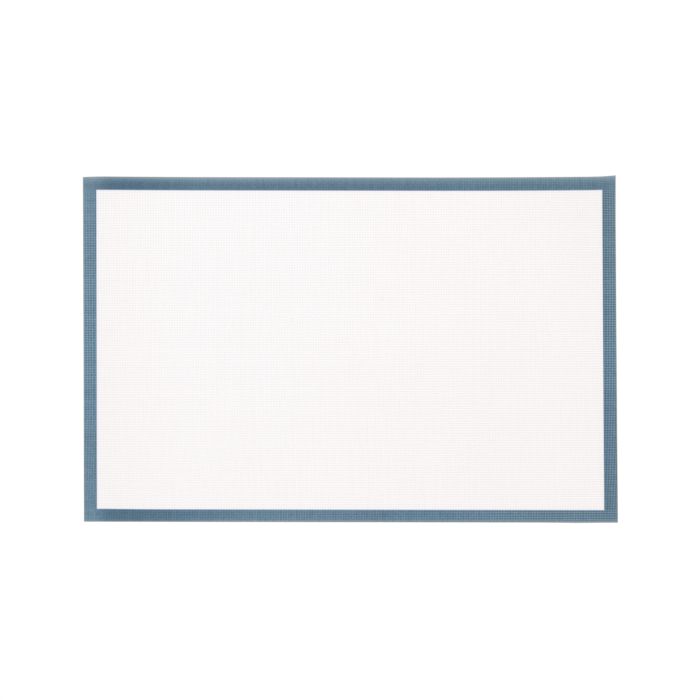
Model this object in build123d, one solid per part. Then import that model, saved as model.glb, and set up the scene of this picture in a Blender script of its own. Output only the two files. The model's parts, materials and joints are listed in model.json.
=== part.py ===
import os
from math import asin, degrees, sqrt

from build123d import *

# A silicone baking mat as it is made: a woven glass-fibre cloth cast between two coats of
# silicone and cut from the roll, with a blue band printed round the edge of the baking face.
# X runs along the long side and Y along the short side. The underside rests on z = 0, and the
# two far corners, at +Y, have kept a little of the curl of the roll. Lengths are in millimetres.

# cut size of the mat, which lies inside a 600 x 400 baker's tray
mat_length = 585.0
mat_width = 385.0

# the layers, from the tray upwards
under_film = 0.20
cloth_thickness = 0.30
over_film = 0.20

# the printed band, let in flush with the baking face and printed up to the cut edge. The mat is
# cut a little out of register with the print, so the band is wider along the far side
band_width = 14.5
band_depth = 0.05
print_offset = 0.5

# the curl of each far corner: how high its tip stands, and how far from it along both edges
# the mat starts to leave the tray
right_curl_lift = 8.0
right_curl_reach = 225.0
left_curl_lift = 3.5
left_curl_reach = 160.0

# how far a cutting shape runs past what it cuts
overrun = 5.0

# where each layer starts
cloth_floor = under_film
cloth_roof = cloth_floor + cloth_thickness
baking_face = cloth_roof + over_film

# side of the mat, lift and reach of each curl
curls = [(1, right_curl_lift, right_curl_reach), (-1, left_curl_lift, left_curl_reach)]


def corner_column(side, lift, reach):
    # the space over the curled triangle at one far corner
    tip_x, tip_y = side * mat_length / 2, mat_width / 2
    outline = Polyline(
        (tip_x, tip_y), (tip_x - side * reach, tip_y), (tip_x, tip_y - reach), close=True
    )
    return extrude(make_face(outline), amount=lift + baking_face + overrun, dir=(0, 0, 1))


def curled_corner(side, lift, reach, low, high):
    # one layer of a far corner, rolled up about the line where the mat leaves the tray
    depth = reach / sqrt(2)
    radius = (depth**2 + lift**2) / (2 * lift)
    turn = degrees(asin((depth + overrun) / (radius - baking_face)))
    fold = Plane(
        origin=(side * (mat_length - reach) / 2, (mat_width - reach) / 2, 0),
        x_dir=(side, 1, 0),
        z_dir=(1, -side, 0),
    )
    lower = JernArc((0, low), (1, 0), radius - low, turn)
    upper = JernArc((0, high), (1, 0), radius - high, turn)
    section = make_face([lower, Line(lower @ 1, upper @ 1), upper, Line(upper @ 0, lower @ 0)])
    rolled = extrude(fold * section, amount=reach, both=True)
    return rolled & corner_column(side, lift, reach)


def layer(low, high):
    # one layer over the whole mat, between two heights above the underside
    flat = extrude(Pos(0, 0, low) * Rectangle(mat_length, mat_width), amount=high - low)
    for curl in curls:
        flat -= corner_column(*curl)
    for curl in curls:
        flat += curled_corner(*curl, low, high)
    return flat


def border_print():
    # a frame of pigmented silicone, as deep as the print and as wide as the band
    outline = Rectangle(mat_length + overrun, mat_width + overrun)
    bare_field = Pos(0, -print_offset) * Rectangle(
        mat_length - 2 * band_width, mat_width - 2 * band_width
    )
    tallest = max(lift for side, lift, reach in curls) + baking_face + overrun
    return layer(baking_face - band_depth, baking_face) & extrude(outline - bare_field, amount=tallest)


os.makedirs("parts", exist_ok=True)
band = border_print()
export_step(layer(0, cloth_floor), "parts/bottom_silicone_coat.step")
export_step(layer(cloth_floor, cloth_roof), "parts/glass_cloth.step")
export_step(layer(cloth_roof, baking_face) - band, "parts/top_silicone_coat.step")
export_step(band, "parts/border_print.step")
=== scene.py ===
import json
import math

import bmesh
import bpy
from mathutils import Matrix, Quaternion, Vector


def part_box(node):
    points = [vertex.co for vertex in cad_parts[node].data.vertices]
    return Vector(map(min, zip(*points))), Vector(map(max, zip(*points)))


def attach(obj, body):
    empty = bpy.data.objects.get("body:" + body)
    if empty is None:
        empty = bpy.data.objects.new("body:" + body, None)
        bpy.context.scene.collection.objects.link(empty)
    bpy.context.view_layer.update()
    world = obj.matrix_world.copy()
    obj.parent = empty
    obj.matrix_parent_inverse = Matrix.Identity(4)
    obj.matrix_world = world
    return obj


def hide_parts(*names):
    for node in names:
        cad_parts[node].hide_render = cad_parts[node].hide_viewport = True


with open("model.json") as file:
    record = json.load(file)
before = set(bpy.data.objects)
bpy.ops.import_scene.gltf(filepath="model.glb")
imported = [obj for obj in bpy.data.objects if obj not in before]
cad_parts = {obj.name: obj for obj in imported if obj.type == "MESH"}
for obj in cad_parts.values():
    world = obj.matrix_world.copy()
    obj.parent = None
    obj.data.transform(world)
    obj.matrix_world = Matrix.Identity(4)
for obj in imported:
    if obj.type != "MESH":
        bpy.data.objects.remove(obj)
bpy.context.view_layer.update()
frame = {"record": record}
mm = 0.001

# what the frame says of the mat: its cut size and where each layer starts
clothLow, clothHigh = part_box("glass_cloth")
matLength, matWidth = clothHigh.x - clothLow.x, clothHigh.y - clothLow.y
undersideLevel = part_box("bottom_silicone_coat")[0].z
clothLevel = clothLow.z
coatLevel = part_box("top_silicone_coat")[0].z
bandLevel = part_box("border_print")[0].z
mounts = {mount["name"]: mount["pos_m"] for mount in frame["record"]["mounts"]}
bakingFaceLevel = mounts["baking_face"][2]

# the yarns of the cloth: warp yarns run along Y, weft yarns along X
weave = {
    "warpPitch": 1.778 * mm,
    "weftPitch": 1.872 * mm,
    "warpBow": 0.085,
    "weftDrift": 0.02,
    "reliefHeight": 0.05 * mm,
    # where the random tones of the warp and the weft start
    "warpSeed": 0.5,
    "weftSeed": 900.5,
    # how fine the fibres are across and along a yarn, and how softly one yarn dips under another
    "fibreAcross": 8000.0,
    "fibreAlong": 600.0,
    "fibreSwap": (-0.2, 0.2),
    # the mean of a gap line and of a dot on a crossing, which is taken off them so that making
    # them stronger leaves the tone alone
    "gapMean": 0.227,
    "dotMean": 0.25,
}

# the printed band along the long sides and across the ends. The print lies out of register with
# the cut: nearer the near side by the offset, and to the left by the shift and a skew
band = {
    "width": 14.5 * mm,
    "endWidth": 14.7 * mm,
    "offset": 0.5 * mm,
    "shift": -0.15 * mm,
    "skew": 0.0011,
}

# the curl that each far corner has kept (side, lift, reach), how far the short sides lean out of
# square, and the grid that the sheets are bent on
laid = {
    "curls": [(1, 8.0 * mm, 225.0 * mm), (-1, 3.5 * mm, 160.0 * mm)],
    "lean": 0.0070,
    "gridPitch": 8.0 * mm,
    "cutTolerance": 0.0001 * mm,
    "sharpAngle": 40.0,
}

# where the cut or the print runs out of true: a place, how far it is off along X and Y there,
# and how far that reaches along X and Y
faults = [
    ((matLength / 2, matWidth / 2), (0.38 * mm, 1.25 * mm), (27.0 * mm, 45.0 * mm)),
    ((-matLength / 2, matWidth / 2), (-0.1 * mm, -0.9 * mm), (28.0 * mm, 45.0 * mm)),
    ((-270.0 * mm, -178.5 * mm), (0.0, 0.5 * mm), (70.0 * mm, 13.0 * mm)),
    ((248.0 * mm, -matWidth / 2), (0.0, -0.35 * mm), (55.0 * mm, 13.0 * mm)),
]


# shader wires: sums on them add Math nodes
class Wire:
    def __init__(self, tree, socket):
        self.tree = tree
        self.socket = socket

    def node(self, kind, settings=None, inputs=None, output=0):
        made = self.tree.nodes.new(kind)
        for key, value in (settings or {}).items():
            setattr(made, key, value)
        for key, value in (inputs or {}).items():
            if isinstance(value, Wire):
                self.tree.links.new(value.socket, made.inputs[key])
            else:
                made.inputs[key].default_value = value
        return Wire(self.tree, made.outputs[output] if made.outputs else None)

    def math(self, operation, *values):
        return self.node("ShaderNodeMath", {"operation": operation}, dict(enumerate(values)))

    def __add__(self, other):
        return self.math("ADD", self, other)

    def __radd__(self, other):
        return self.math("ADD", other, self)

    def __sub__(self, other):
        return self.math("SUBTRACT", self, other)

    def __rsub__(self, other):
        return self.math("SUBTRACT", other, self)

    def __mul__(self, other):
        return self.math("MULTIPLY", self, other)

    def __rmul__(self, other):
        return self.math("MULTIPLY", other, self)

    def __neg__(self):
        return self.math("MULTIPLY", self, -1.0)

    def floor(self):
        return self.math("FLOOR", self)

    def size(self):
        return self.math("ABSOLUTE", self)

    def sine(self):
        return self.math("SINE", self)

    def cosine(self):
        return self.math("COSINE", self)

    def atLeast(self, other):
        return self.math("MAXIMUM", self, other)

    def atMost(self, other):
        return self.math("MINIMUM", self, other)

    def between(self, low, high, first=0.0, last=1.0):
        # an even slope from the first value at low to the last one at high, eased at both ends
        wanted = {"interpolation_type": "SMOOTHSTEP"}
        limits = {"From Min": low, "From Max": high, "To Min": first, "To Max": last}
        return self.node("ShaderNodeMapRange", wanted, {"Value": self, **limits})

    def mixed(self, first, second, way="MIX"):
        # two colours, this wire's value saying how much of the second
        wanted = {"data_type": "RGBA", "blend_type": way, "clamp_factor": True}
        return self.node("ShaderNodeMix", wanted, {0: self, 6: first, 7: second}, 2)

    def tinted(self, colour, tint):
        # a colour with a tint over it, this wire's value saying how much of the tint
        return self.mixed(colour, tint, "MULTIPLY")

    def shaded(self, colour):
        # a colour made lighter or darker by this wire's value
        return self.node("ShaderNodeVectorMath", {"operation": "SCALE"}, {0: colour, "Scale": self})


def emptyTree(owner):
    # the nodes of a material or the world, with none made yet
    owner.use_nodes = True
    owner.node_tree.nodes.clear()
    return Wire(owner.node_tree, None)


def newMaterial(name):
    material = bpy.data.materials.new(name)
    return material, emptyTree(material)


def finishMaterial(start, colour, roughness, relief, finish):
    height = {"Strength": 1.0, "Distance": weave["reliefHeight"], "Height": relief}
    bump = start.node("ShaderNodeBump", {}, height)
    inputs = {"Base Color": colour, "Roughness": roughness, "Normal": bump, "IOR": finish["ior"]}
    surface = start.node("ShaderNodeBsdfPrincipled", {}, inputs)
    start.node("ShaderNodeOutputMaterial", {}, {"Surface": surface})


def weaveWires(start):
    # the plain weave as it stands under the silicone. warp and weft swing between 1 and -1 from
    # the middle of one yarn to the next, and crossing is above 0 where the warp yarn is on top
    place = start.node("ShaderNodeAttribute", {"attribute_name": "flatPlace"}, output=1)
    x = start.node("ShaderNodeSeparateXYZ", {}, {0: place})
    y = Wire(x.tree, x.socket.node.outputs[1])
    # the short sides are cut out of line with the warp, which bows in the near half, and the
    # weft opens towards the near side
    nearHalf = y.atMost(0.0)
    along = x - y * laid["lean"] - nearHalf * nearHalf * weave["warpBow"]
    warpPlace = along * (1 / weave["warpPitch"])
    weftPlace = (y + y * y * weave["weftDrift"]) * (1 / weave["weftPitch"])
    warp = (warpPlace * math.pi).cosine()
    weft = (weftPlace * math.pi).sine()
    crossing = warp * weft
    warpOver, weftOver = crossing.atLeast(0.0), (-crossing).atLeast(0.0)
    relief = warpOver * (2 - warp.size()) + weftOver * (2 - weft.size())
    # how far a point lies outside the cut and outside the inner edge of the print
    outside = (x.size() - matLength / 2).atLeast(y.size() - matWidth / 2)
    innerX = (x - y * band["skew"] - band["shift"]).size() - (matLength / 2 - band["endWidth"])
    innerY = (y + band["offset"]).size() - (matWidth / 2 - band["width"])
    return {
        "place": place,
        "x": x,
        "y": y,
        "outside": outside,
        "print": innerX.atLeast(innerY),
        "warpGap": 1 - warp.size(),
        "weftGap": 1 - weft.size(),
        "crossing": crossing,
        "relief": relief,
        "warpNumber": (warpPlace + 0.5).floor(),
        "weftNumber": weftPlace.floor(),
    }


def gapLines(gap, share):
    # a line along each gap between two yarns, round 0
    return (gap * gap - weave["gapMean"]) * share


def yarnTone(start, w, share):
    # a steady difference from one yarn to the next and a smaller one from crossing to crossing
    oneWay = {"noise_dimensions": "1D"}
    warpStart, weftStart = w["warpNumber"] + weave["warpSeed"], w["weftNumber"] + weave["weftSeed"]
    warpTone = start.node("ShaderNodeTexWhiteNoise", oneWay, {"W": warpStart})
    weftTone = start.node("ShaderNodeTexWhiteNoise", oneWay, {"W": weftStart})
    cell = start.node("ShaderNodeCombineXYZ", {}, {0: w["warpNumber"], 1: w["weftNumber"]})
    cellTone = start.node("ShaderNodeTexWhiteNoise", {"noise_dimensions": "2D"}, {"Vector": cell})
    return (warpTone + weftTone - 1) * share[0] + (cellTone - 0.5) * share[1]


def softNoise(start, place, scale=1.0, detail=1.0):
    # cloudy variation round 0, within about half a unit either way
    inputs = {"Vector": place, "Scale": scale, "Detail": detail}
    return start.node("ShaderNodeTexNoise", {}, inputs) - 0.5


def cloudNoise(start, w, finish):
    return softNoise(start, w["place"], finish["cloudScale"], detail=2.0)


def streakNoise(start, w, alongX, alongY):
    # noise that is drawn out one way, by how fine it is along X and along Y
    stretched = {0: w["x"] * alongX, 1: w["y"] * alongY}
    return softNoise(start, start.node("ShaderNodeCombineXYZ", {}, stretched))


def fibreTone(start, w):
    # fine streaks along whichever yarn lies on top at a crossing
    warpFibres = streakNoise(start, w, weave["fibreAcross"], weave["fibreAlong"])
    weftFibres = streakNoise(start, w, weave["fibreAlong"], weave["fibreAcross"])
    warpOnTop = w["crossing"].between(*weave["fibreSwap"])
    return warpOnTop * warpFibres + (1 - warpOnTop) * weftFibres


def blemished(start, w, colour, finish):
    # faint spots, each with its place on the flat mat, its half width and its depth
    for atX, atY, radius, depth in finish["blemishes"]:
        spot = {0: w["place"], 1: (atX, atY, bakingFaceLevel)}
        away = start.node("ShaderNodeVectorMath", {"operation": "DISTANCE"}, spot, 1)
        colour = away.between(0.0, radius, depth, 0.0).tinted(colour, finish["blemish"])
    return colour


# the bare silicone: near white over the yarns, a warm grey line along each gap between them.
# Where a tint or a line grows or fades over the mat, its place is written as where that starts
# and ends, along X or Y from the middle or outwards from the edge of the print or the cut, and
# its share at both ends where these aren't 0 and 1
fieldFinish = {
    "yarn": (0.9875, 0.9875, 0.9965, 1.0),
    "gap": (0.845, 0.785, 0.780, 1.0),
    # how much of the gap's colour there is, and how strongly the weave shows, over the whole
    # field and more or less of it along X and Y
    "base": 0.46,
    "warpLines": 0.78,
    "warpLinesY": 0.75,
    "warpLinesTwist": 2.6,
    "warpLinesRight": (0.05, 0.25, 0.0, 0.15),
    "weftLines": 1.1,
    "weftLinesX": 1.55,
    "weftLinesY": 0.3,
    "weftLinesEnds": 4.5,
    "weftLinesTwist": 2.0,
    "steps": 0.1,
    "stepsX": 0.05,
    "stepsY": 0.5,
    "yarnShare": (0.04, 0.035),
    "fibreShare": 0.3,
    # the silicone yellows towards the near right, and in streaks along the warp
    "warm": (0.984, 0.975, 0.964, 1.0),
    "warmRight": (0.0, 0.27, 0.0, 0.85),
    "warmNear": (0.1, -0.19, 0.0, 0.43),
    "warmCloud": 0.5,
    "cloudScale": 9.0,
    "streak": (0.981, 0.957, 0.940, 1.0),
    "streakAcross": 280.0,
    "streakAlong": 28.0,
    "streakLevel": 0.05,
    # painted light makes it whitest left of the middle and painted shade a little darker towards
    # both ends, and it darkens a little towards the band
    "paintedLight": (1.003, 1.007, 1.011, 1.0),
    "paintedLightLeft": (-0.24, -0.17),
    "paintedLightRight": (0.05, -0.08),
    "leftPaintedShade": (0.993, 0.988, 0.992, 1.0),
    "leftPaintedShadePlace": (-0.21, -0.27),
    "rightPaintedShade": (0.994, 0.993, 0.992, 1.0),
    "rightPaintedShadePlace": (0.22, 0.27),
    "bandShade": (0.986, 0.986, 0.992, 1.0),
    "bandShadePlace": (-9.0 * mm, 0.0),
    "pigment": (0.93, 0.95, 1.0, 1.0),
    "pigmentPlace": (-1.6 * mm, 0.0),
    "blemish": (0.955, 0.92, 0.89, 1.0),
    "blemishes": [
        (35.5 * mm, 56.5 * mm, 3.2 * mm, 0.75),
        (36.3 * mm, -63.6 * mm, 3.6 * mm, 0.4),
        (188.0 * mm, -108.2 * mm, 1.8 * mm, 0.8),
        (254.0 * mm, 150.0 * mm, 11.0 * mm, 0.14),
        (255.0 * mm, 122.0 * mm, 14.0 * mm, 0.12),
    ],
    "roughness": 0.46,
    "roughnessCloud": 0.08,
    "ior": 1.41,
}


def fieldLines(start, w):
    # how much of the gap's colour shows at each point
    f = fieldFinish
    x, y = w["x"], w["y"]
    warpShare = y * f["warpLinesY"] - x * y * f["warpLinesTwist"]
    warpShare = warpShare + x.between(*f["warpLinesRight"]) + f["warpLines"]
    weftShare = x * (x * f["weftLinesEnds"] - y * f["weftLinesTwist"] + f["weftLinesX"])
    weftShare = weftShare - y * f["weftLinesY"] + f["weftLines"]
    steps = w["crossing"] * (x * f["stepsX"] - y * f["stepsY"] + f["steps"])
    lines = gapLines(w["warpGap"], warpShare) + gapLines(w["weftGap"], weftShare) + steps
    lines = lines + yarnTone(start, w, f["yarnShare"]) + f["base"]
    return lines + fibreTone(start, w) * f["fibreShare"]


def fieldMaterial():
    material, start = newMaterial("baking_face_silicone")
    w = weaveWires(start)
    f = fieldFinish
    x, y = w["x"], w["y"]
    colour = fieldLines(start, w).mixed(f["yarn"], f["gap"])
    cloud = cloudNoise(start, w, f)
    warmth = x.between(*f["warmRight"]) + y.between(*f["warmNear"]) + cloud * f["warmCloud"]
    colour = warmth.tinted(colour, f["warm"])
    # painted shade towards both ends and painted light left of the middle
    colour = x.between(*f["leftPaintedShadePlace"]).tinted(colour, f["leftPaintedShade"])
    colour = x.between(*f["rightPaintedShadePlace"]).tinted(colour, f["rightPaintedShade"])
    paintedLight = x.between(*f["paintedLightLeft"]) * x.between(*f["paintedLightRight"])
    colour = paintedLight.tinted(colour, f["paintedLight"])
    colour = w["print"].between(*f["bandShadePlace"]).tinted(colour, f["bandShade"])
    streak = streakNoise(start, w, f["streakAcross"], f["streakAlong"]) + f["streakLevel"]
    colour = streak.tinted(colour, f["streak"])
    colour = w["print"].between(*f["pigmentPlace"]).tinted(colour, f["pigment"])
    colour = blemished(start, w, colour, f)
    roughness = cloud * f["roughnessCloud"] + f["roughness"]
    finishMaterial(start, colour, roughness, w["relief"], f)
    return material


# the print: a pale dot on each crossing, darker and bluer between the yarns. Places are written
# as they are for the field
bandFinish = {
    "dot": (0.376, 0.588, 0.723, 1.0),
    "gap": (0.012, 0.060, 0.112, 1.0),
    # how far each long side's own look reaches past the inner edge of the print, into the field
    # and into the band, and where the ends and the far half begin
    "sideIntoField": 4.0 * mm,
    "sideIntoBand": 2.0 * mm,
    "left": (-0.279, -0.26, 1.0, 0.0),
    "right": (0.25, 0.285),
    "farHalf": (-0.08, 0.08),
    # how strongly the dots stand out: most on the right and halfway along the short sides, and
    # hardly along the far side
    "dots": 0.64,
    "dotsX": 0.43,
    "dotsFar": 0.46,
    "dotsFarX": 0.2,
    "dotsNear": 0.14,
    "dotsEnds": 0.25,
    "dotsEndsY": 10.7,
    "dotsLeftY": 0.5,
    "dotsLeftNear": (0.01, -0.06, 0.02, 0.12),
    "dotsLeftFar": 0.18,
    "leftFarX": (-0.26, -0.29),
    "leftFarY": (0.10, 0.17),
    # more of the gaps along the warp shows on the left, and along the weft at the near right
    "cover": 0.25,
    "steps": 0.044,
    "stepsX": -0.07,
    "warpLinesLeft": (-0.15, 0.0, 0.02, 0.1),
    "warpGapShare": 0.02,
    "weftLines": 0.02,
    "weftLinesX": 1.35,
    "weftLinesLeast": -0.05,
    "yarnShare": (0.043, 0.07),
    "fibreShare": 0.16,
    # the tone of the print, lighter down the left side by painted sheen, and how that differs by
    # place
    "tone": 1.01,
    "toneCloud": 0.2,
    "cloudScale": 14.0,
    "outermost": (-14.0 * mm, 0.0, -0.03, 0.04),
    "leftSheen": 0.13,
    "leftSheenY": 0.4,
    "rightNearDark": (0.02, -0.12, 0.0, 0.12),
    "rightFarDark": (0.03, 0.12, 0.0, 0.02),
    "farLeftDark": 0.11,
    "farRightTone": 0.01,
    "farEnds": ((-0.1, -0.16), (0.07, 0.13)),
    "farEndsTone": 0.05,
    # the far side lighter towards its outer edge is painted sheen
    "farMiddleSheen": 1.3,
    "farMiddleDark": 0.014,
    "nearMiddle": ((-0.03, 0.04), (0.08, 0.16, 1.0, 0.0)),
    "nearMiddleDark": 0.04,
    "nearTowardsRightDark": (0.08, 0.25, 0.0, 0.05),
    "nearLeftTone": 0.09,
    "nearRightTone": 0.10,
    # the hue of the print by place
    "farTint": (0.815, 0.88, 0.91, 1.0),
    "farEndTint": (1.0, 0.993, 0.96, 1.0),
    "farEndPlace": (0.05, 0.2),
    "farRightTint": (0.95, 0.965, 0.955, 1.0),
    "nearRightTint": (0.91, 0.965, 0.985, 1.0),
    "nearMiddleTint": (0.91, 0.955, 0.987, 1.0),
    "nearLeftTint": (0.99, 1.014, 1.036, 1.0),
    "nearLeftPlace": ((-0.21, -0.17), (-0.01, 0.03, 1.0, 0.0)),
    "cutTint": (1.0, 0.98, 0.96, 1.0),
    "cutTintReach": (-8.0 * mm, -1.0 * mm),
    "cutTintLeft": (0.0, 0.15, 0.0, 0.7),
    # painted shade darkens the print on the long sides beside the left end
    "paintedShade": (0.515, 0.665, 0.74, 1.0),
    "shadeStart": (-0.2845, -0.265),
    "shadeNear": (-0.255, -0.08, 1.0, 0.0),
    "shadeFar": (-0.245, -0.14, 0.8, 0.0),
    # painted sheen pales the print towards the far edge, less so on the right, and the same colour
    # pales it a little at the near edge
    "paintedSheen": (0.55, 0.63, 0.70, 1.0),
    "sheenReach": 8.0 * mm,
    "sheenRight": (-0.09, -0.02, 0.43, 0.32),
    "sheenLeft": (-0.29, -0.2, 0.7, 1.0),
    "paleNearReach": 4.5 * mm,
    "paleNear": (-0.2, -0.15, 0.12, 0.21),
    "sheenFarLeft": 0.045,
    "sheenFarRight": 0.035,
    "paleCut": 0.02,
    "blemish": (0.62, 0.60, 0.60, 1.0),
    "blemishes": [
        (290.5 * mm, -26.5 * mm, 3.6 * mm, 0.6),
        (-284.0 * mm, -101.0 * mm, 22.0 * mm, 0.16),
    ],
    # the pigment thins out on the inner edge, and the raw cloth shows through at the cut
    "bleed": (0.40, 0.46, 0.68, 1.0),
    "bleedPlace": (0.0, 0.9 * mm, 0.7, 0.0),
    "cutEdge": (0.38, 0.31, 0.22, 1.0),
    "cutEdgePlace": (-0.65 * mm, -0.25 * mm, 0.0, 0.9),
    "roughness": 0.46,
    "roughnessCloud": 0.1,
    "ior": 1.41,
}


def bandParts(w):
    # how much of each part of the band there is at a point
    f = bandFinish
    x, y = w["x"], w["y"]
    farInside = matWidth / 2 - band["width"] - band["offset"]
    nearInside = band["width"] - band["offset"] - matWidth / 2
    inward, outward = f["sideIntoField"], f["sideIntoBand"]
    nearMiddle, farEnds = f["nearMiddle"], f["farEnds"]
    return {
        "far": y.between(farInside - inward, farInside + outward),
        "near": y.between(nearInside - outward, nearInside + inward, 1.0, 0.0),
        "left": x.between(*f["left"]),
        "right": x.between(*f["right"]),
        "farHalf": y.between(*f["farHalf"]),
        "nearMiddle": x.between(*nearMiddle[0]) * x.between(*nearMiddle[1]),
        "farEnds": x.between(*farEnds[0]) + x.between(*farEnds[1]),
        "outermost": w["outside"].between(*f["outermost"]),
    }


def bandCover(start, w, part):
    # how much of the dot's colour shows at each point
    f = bandFinish
    x, y = w["x"], w["y"]
    leftFar = x.between(*f["leftFarX"]) * y.between(*f["leftFarY"])
    strength = x * f["dotsX"] + f["dots"] - part["far"] * (f["dotsFar"] - x * f["dotsFarX"])
    strength = strength - part["near"] * f["dotsNear"] - leftFar * f["dotsLeftFar"]
    ends = part["left"] + part["right"]
    strength = strength + ends * (f["dotsEnds"] - y * y * f["dotsEndsY"])
    leftDots = y * f["dotsLeftY"] - y.between(*f["dotsLeftNear"])
    strength = strength + part["left"] * leftDots
    dots = (w["crossing"] * w["crossing"] - weave["dotMean"]) * strength + f["cover"]
    steps = w["crossing"] * (x * f["stepsX"] + f["steps"])
    warpShare = part["left"] * y.between(*f["warpLinesLeft"])
    weftShare = part["near"] * (x * f["weftLinesX"] + f["weftLines"]).atLeast(f["weftLinesLeast"])
    cover = dots - gapLines(w["warpGap"], warpShare) - gapLines(w["weftGap"], weftShare)
    cover = cover + steps + yarnTone(start, w, f["yarnShare"]) - w["warpGap"] * f["warpGapShare"]
    return cover + fibreTone(start, w) * f["fibreShare"]


def bandTone(w, part, cloud):
    # how light the print is at each point
    f = bandFinish
    x, y = w["x"], w["y"]
    far, near, left, right = (part[name] for name in ("far", "near", "left", "right"))
    outermost, farEnds = part["outermost"], part["farEnds"]
    # painted sheen: the left side of the print is lighter
    tone = left * (y * f["leftSheenY"] + f["leftSheen"] + outermost) + outermost * (1 - near)
    tone = tone + cloud * f["toneCloud"] + f["tone"]
    tone = tone - right * (y.between(*f["rightNearDark"]) + y.between(*f["rightFarDark"]))
    ends = farEnds * f["farEndsTone"] + right * f["farRightTone"] - left * f["farLeftDark"]
    tone = tone + far * ends
    # painted sheen: the far side lighter towards its outer edge
    tone = tone + far * (1 - farEnds) * (outermost * f["farMiddleSheen"] - f["farMiddleDark"])
    middle = part["nearMiddle"] * f["nearMiddleDark"]
    tone = tone - near * (middle + x.between(*f["nearTowardsRightDark"]))
    return tone + near * (left * f["nearLeftTone"] + right * f["nearRightTone"])


def bandTinted(w, part, colour, atCut):
    # the print takes another hue from place to place, and painted shade darkens it beside the left
    # end
    f = bandFinish
    x, y = w["x"], w["y"]
    far, near, left, right = (part[name] for name in ("far", "near", "left", "right"))
    colour = far.tinted(colour, f["farTint"])
    colour = (right * part["farHalf"]).tinted(colour, f["farRightTint"])
    colour = (right * (1 - part["farHalf"])).tinted(colour, f["nearRightTint"])
    colour = (part["nearMiddle"] * near).tinted(colour, f["nearMiddleTint"])
    nearLeft = [x.between(*place) for place in f["nearLeftPlace"]]
    colour = (nearLeft[0] * nearLeft[1] * near).tinted(colour, f["nearLeftTint"])
    farEnd = far * (x.between(*f["farEndPlace"]) - right)
    colour = farEnd.tinted(colour, f["farEndTint"])
    colour = atCut.tinted(colour, f["cutTint"])
    colour = (left * y.between(*f["cutTintLeft"])).tinted(colour, f["cutTint"])
    # painted shade on the long sides beside the left end
    paintedShade = x.between(*f["shadeNear"]) * near + x.between(*f["shadeFar"]) * far
    return (x.between(*f["shadeStart"]) * paintedShade).tinted(colour, f["paintedShade"])


def bandSheen(w, part, atCut):
    # how far the print is paled at each point: by painted sheen towards the far edge, and a little
    # at the near edge and by the cut
    f = bandFinish
    x, y = w["x"], w["y"]
    reach = f["sheenReach"]
    sheenRamp = (y * (1 / reach) - (matWidth / 2 / reach - 1)).atLeast(0.0)
    paintedSheen = sheenRamp * sheenRamp * x.between(*f["sheenRight"]) * x.between(*f["sheenLeft"])
    nearEdge = y.between(f["paleNearReach"] - matWidth / 2, -matWidth / 2)
    paintedSheen = paintedSheen + nearEdge * x.between(*f["paleNear"])
    corners = part["left"] * f["sheenFarLeft"] + part["right"] * f["sheenFarRight"]
    return paintedSheen + part["far"] * corners + atCut * f["paleCut"]


def bandMaterial():
    material, start = newMaterial("grey_blue_band")
    w = weaveWires(start)
    f = bandFinish
    part = bandParts(w)
    cloud = cloudNoise(start, w, f)
    colour = bandCover(start, w, part).mixed(f["gap"], f["dot"])
    colour = bandTone(w, part, cloud).shaded(colour)
    atCut = w["outside"].between(*f["cutTintReach"])
    atCut = atCut * (part["left"] * part["farHalf"] + part["right"])
    colour = bandTinted(w, part, colour, atCut)
    # the print paled by painted sheen towards the far edge
    colour = bandSheen(w, part, atCut).mixed(colour, f["paintedSheen"])
    colour = blemished(start, w, colour, f)
    colour = w["print"].between(*f["bleedPlace"]).mixed(colour, f["bleed"])
    colour = w["outside"].between(*f["cutEdgePlace"]).mixed(colour, f["cutEdge"])
    roughness = cloud * f["roughnessCloud"] + f["roughness"]
    finishMaterial(start, colour, roughness, w["relief"], f)
    return material


# the tray side, through which the print shows faintly
undersideFinish = {
    "field": (0.86, 0.84, 0.81, 1.0),
    "gap": (0.76, 0.73, 0.70, 1.0),
    "fibreShare": 0.5,
    "bandShowing": (0.42, 0.49, 0.53, 1.0),
    "bandPlace": (-0.4 * mm, 0.4 * mm),
    "cloudScale": 12.0,
    "roughness": 0.5,
    "roughnessCloud": 0.08,
    "ior": 1.41,
}


def undersideMaterial():
    material, start = newMaterial("tray_side_silicone")
    w = weaveWires(start)
    f = undersideFinish
    yarns = w["relief"] + fibreTone(start, w) * f["fibreShare"]
    colour = yarns.mixed(f["gap"], f["field"])
    colour = w["print"].between(*f["bandPlace"]).mixed(colour, f["bandShowing"])
    roughness = cloudNoise(start, w, f) * f["roughnessCloud"] + f["roughness"]
    finishMaterial(start, colour, roughness, w["relief"], f)
    return material


# the cloth, which shows only along the cut
clothFinish = {
    "yarn": (0.88, 0.86, 0.80, 1.0),
    "gap": (0.66, 0.64, 0.60, 1.0),
    "yarnShare": (0.1, 0.2),
    "fibreShare": 0.6,
    "roughness": 0.6,
    "roughnessFibres": 0.3,
    "ior": 1.5,
}


def clothMaterial():
    material, start = newMaterial("woven_glass_cloth")
    w = weaveWires(start)
    f = clothFinish
    fibres = fibreTone(start, w)
    tone = w["relief"] + yarnTone(start, w, f["yarnShare"]) + fibres * f["fibreShare"]
    colour = tone.mixed(f["gap"], f["yarn"])
    roughness = fibres * f["roughnessFibres"] + f["roughness"]
    finishMaterial(start, colour, roughness, w["relief"], f)
    return material


def liftAt(x, y):
    # how high the underside stands off the tray
    lift = 0.0
    for side, tip, reach in laid["curls"]:
        depth = reach / math.sqrt(2)
        radius = (depth**2 + tip**2) / (2 * tip)
        past = (side * x + y - (matLength + matWidth) / 2) / math.sqrt(2) + depth
        if past > 0:
            lift += radius - math.sqrt(radius**2 - past**2)
    return lift


def faultAt(x, y):
    # how far a point is off along X and Y where the cut or the print runs out of true
    shift = Vector((0.0, 0.0, 0.0))
    for place, off, reach in faults:
        nearX = max(0.0, 1 - abs(x - place[0]) / reach[0])
        nearY = max(0.0, 1 - abs(y - place[1]) / reach[1])
        shift += Vector((*off, 0.0)) * nearX**2 * nearY
    return shift


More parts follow.
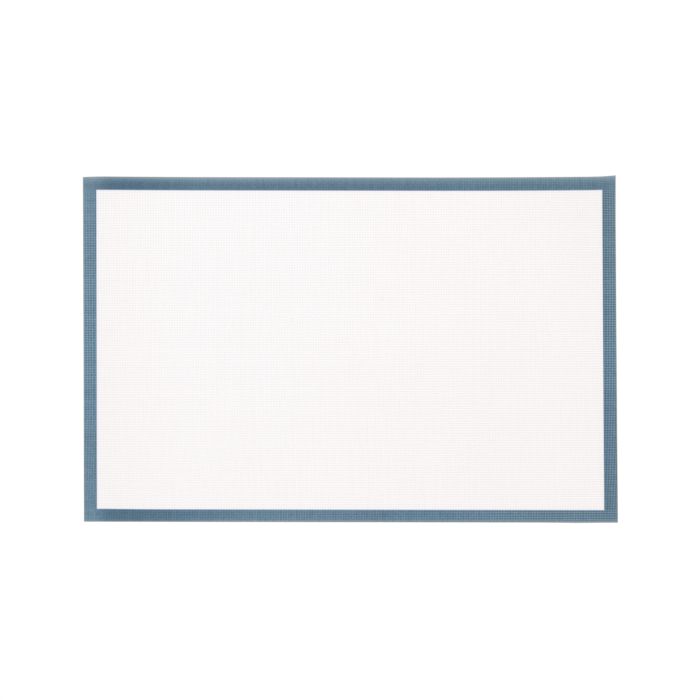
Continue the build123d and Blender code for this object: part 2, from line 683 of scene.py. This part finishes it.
def makePiece(name, bm, material, node):
    # lays the flat sheet down with its curls and hands it over. Each point keeps its place on
    # the flat sheet for the materials
    flatPlace = bm.verts.layers.float_vector.new("flatPlace")
    for vert in bm.verts:
        x, y = vert.co.x, vert.co.y
        vert[flatPlace] = vert.co
        vert.co += Vector((-laid["lean"] * y, 0.0, liftAt(x, y))) + faultAt(x, y)
    bmesh.ops.recalc_face_normals(bm, faces=bm.faces)
    mesh = bpy.data.meshes.new(name)
    bm.to_mesh(mesh)
    bm.free()
    mesh.materials.append(material)
    piece = bpy.data.objects.new(name, mesh)
    bpy.context.collection.objects.link(piece)
    for face in mesh.polygons:
        face.use_smooth = True
    mesh.set_sharp_from_angle(angle=math.radians(laid["sharpAngle"]))
    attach(piece, "root")
    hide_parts(node)
    return piece


def flatGrid(level):
    # the cut outline as a flat grid of faces
    bm = bmesh.new()
    segments = [round(side / laid["gridPitch"]) for side in (matLength, matWidth)]
    bmesh.ops.create_grid(bm, x_segments=segments[0], y_segments=segments[1], size=0.5)
    bmesh.ops.scale(bm, vec=(matLength, matWidth, 1.0), verts=bm.verts)
    bmesh.ops.translate(bm, vec=(0.0, 0.0, level), verts=bm.verts)
    return bm


def bandCuts(bm):
    # edge lines along the inner edge of the printed band
    middle = Vector((band["shift"], -band["offset"], 0))
    ends = Vector((1, -band["skew"], 0)), matLength / 2 - band["endWidth"]
    longSides = Vector((0, 1, 0)), matWidth / 2 - band["width"]
    tolerance = laid["cutTolerance"]
    for axis, away in (ends, longSides):
        for way in (1, -1):
            geom = bm.verts[:] + bm.edges[:] + bm.faces[:]
            edge = middle + axis * way * away
            bmesh.ops.bisect_plane(bm, geom=geom, dist=tolerance, plane_co=edge, plane_no=axis)


def inField(face):
    # whether a face lies inside the printed band
    centre = face.calc_center_median()
    along = abs(centre.x - band["skew"] * centre.y - band["shift"])
    across = abs(centre.y + band["offset"])
    return along < matLength / 2 - band["endWidth"] and across < matWidth / 2 - band["width"]


def raiseFaces(bm, faces, height):
    # pulls faces up into a layer with upright walls, the old faces staying as its floor
    made = bmesh.ops.extrude_face_region(bm, geom=faces, use_keep_orig=True)["geom"]
    verts = [item for item in made if isinstance(item, bmesh.types.BMVert)]
    bmesh.ops.translate(bm, vec=(0.0, 0.0, height), verts=verts)
    return [item for item in made if isinstance(item, bmesh.types.BMFace)]


print("materials")
field = fieldMaterial()
printed = bandMaterial()
underside = undersideMaterial()
cloth = clothMaterial()

print("tray side silicone")
bm = flatGrid(undersideLevel)
raiseFaces(bm, bm.faces[:], clothLevel - undersideLevel)
traySide = makePiece("tray_side_silicone", bm, underside, "bottom_silicone_coat")

print("glass cloth")
bm = flatGrid(clothLevel)
raiseFaces(bm, bm.faces[:], coatLevel - clothLevel)
clothSheet = makePiece("woven_glass_cloth", bm, cloth, "glass_cloth")

print("baking face silicone")
bm = flatGrid(coatLevel)
bandCuts(bm)
upper = raiseFaces(bm, bm.faces[:], bandLevel - coatLevel)
fieldFaces = [face for face in upper if inField(face)]
raiseFaces(bm, fieldFaces, bakingFaceLevel - bandLevel)
bmesh.ops.delete(bm, geom=fieldFaces, context="FACES")
bakingSide = makePiece("baking_face_silicone", bm, field, "top_silicone_coat")

print("printed band")
bm = flatGrid(bandLevel)
bandCuts(bm)
bmesh.ops.delete(bm, geom=[face for face in bm.faces if inField(face)], context="FACES")
raiseFaces(bm, bm.faces[:], bakingFaceLevel - bandLevel)
printedBand = makePiece("printed_band", bm, printed, "border_print")

# camera: nearly straight down on the mat from the near long side, through a long lens. The
# photo's own measures are in its pixels
camera = {
    "distance": 22.0,
    "clipEnd": 88.0,
    "elevation": 79.34,
    "roll": 0.107,
    "sensor": 36.0,
    "photoWidth": 700.0,
    "matAcross": 533.04,
    "matCentre": (350.03, 349.58),
}


def makeCamera():
    data = bpy.data.cameras.new("camera")
    data.sensor_width = camera["sensor"]
    photoAcross = camera["photoWidth"] * matLength
    data.lens = camera["sensor"] * camera["distance"] * camera["matAcross"] / photoAcross
    data.clip_end = camera["clipEnd"]
    eye = bpy.data.objects.new("camera", data)
    bpy.context.collection.objects.link(eye)
    pixel = matLength / camera["matAcross"]
    rise = math.radians(camera["elevation"])
    middle = camera["photoWidth"] / 2
    aimX = (middle - camera["matCentre"][0]) * pixel
    aimY = (camera["matCentre"][1] - middle) * pixel / math.sin(rise)
    aim = Vector((aimX, aimY, 0.0))
    back = Vector((0.0, -math.cos(rise), math.sin(rise)))
    eye.location = aim + back * camera["distance"]
    eye.rotation_mode = "QUATERNION"
    roll = Quaternion((0.0, 0.0, 1.0), math.radians(camera["roll"]))
    eye.rotation_quaternion = (-back).to_track_quat("-Z", "Y") @ roll
    bpy.context.scene.camera = eye


makeCamera()

# the floor lies just under the mat and shines white where it is seen, by the share that
# floorGlow gives, and keeps the mat's shadow with the rest. lampShare and worldStrength say how
# much of the light on the mat comes from the lamp and from the sky
studio = {
    "floorSize": 60.0,
    "floorLevel": -0.02 * mm,
    "floorColour": (0.97, 0.97, 0.97, 1.0),
    "floorGlow": 0.87,
    "glowStrength": 1.02,
    "lampSize": 8.0,
    "lampPlace": (-0.6, 4.6, 12.0),
    "lampShare": 0.25,
    "worldColour": (1.0, 1.0, 1.0, 1.0),
    "worldStrength": 0.78,
}


def seenDirectly(start):
    # 1 where the camera sees a surface itself or through gloss or glass
    ways = ("Camera", "Glossy", "Transmission")
    seen = [start.node("ShaderNodeLightPath", output=f"Is {way} Ray") for way in ways]
    return seen[0].atLeast(seen[1]).atLeast(seen[2])


def makeFloor():
    bm = bmesh.new()
    bmesh.ops.create_grid(bm, x_segments=1, y_segments=1, size=studio["floorSize"] / 2)
    bmesh.ops.translate(bm, vec=(0.0, 0.0, studio["floorLevel"]), verts=bm.verts)
    mesh = bpy.data.meshes.new("floor")
    bm.to_mesh(mesh)
    bm.free()
    floor = bpy.data.objects.new("floor", mesh)
    bpy.context.collection.objects.link(floor)
    material, start = newMaterial("pale_floor")
    matte = start.node("ShaderNodeBsdfDiffuse", {}, {"Color": studio["floorColour"]})
    white = start.node("ShaderNodeEmission", {}, {"Strength": studio["glowStrength"]})
    glow = seenDirectly(start) * studio["floorGlow"]
    surface = start.node("ShaderNodeMixShader", {}, {0: glow, 1: matte, 2: white})
    start.node("ShaderNodeOutputMaterial", {}, {"Surface": surface})
    mesh.materials.append(material)


def makeLamp():
    # one soft lamp, far enough off to light the whole mat alike
    data = bpy.data.lights.new("softbox", "AREA")
    data.shape = "DISK"
    data.size = studio["lampSize"]
    lamp = bpy.data.objects.new("softbox", data)
    bpy.context.collection.objects.link(lamp)
    lamp.location = studio["lampPlace"]
    away, above = lamp.location.length, lamp.location.z
    data.energy = studio["lampShare"] * math.pi**2 * away**3 / above
    lamp.rotation_mode = "QUATERNION"
    lamp.rotation_quaternion = (-lamp.location).to_track_quat("-Z", "Y")


def makeWorld():
    world = bpy.data.worlds.new("studio")
    bpy.context.scene.world = world
    start = emptyTree(world)
    strength = seenDirectly(start) * (1 - studio["worldStrength"]) + studio["worldStrength"]
    inputs = {"Color": studio["worldColour"], "Strength": strength}
    sky = start.node("ShaderNodeBackground", {}, inputs)
    start.node("ShaderNodeOutputWorld", {}, {"Surface": sky})


print("studio")
makeFloor()
makeLamp()
makeWorld()
bpy.context.scene.view_settings.view_transform = "Standard"
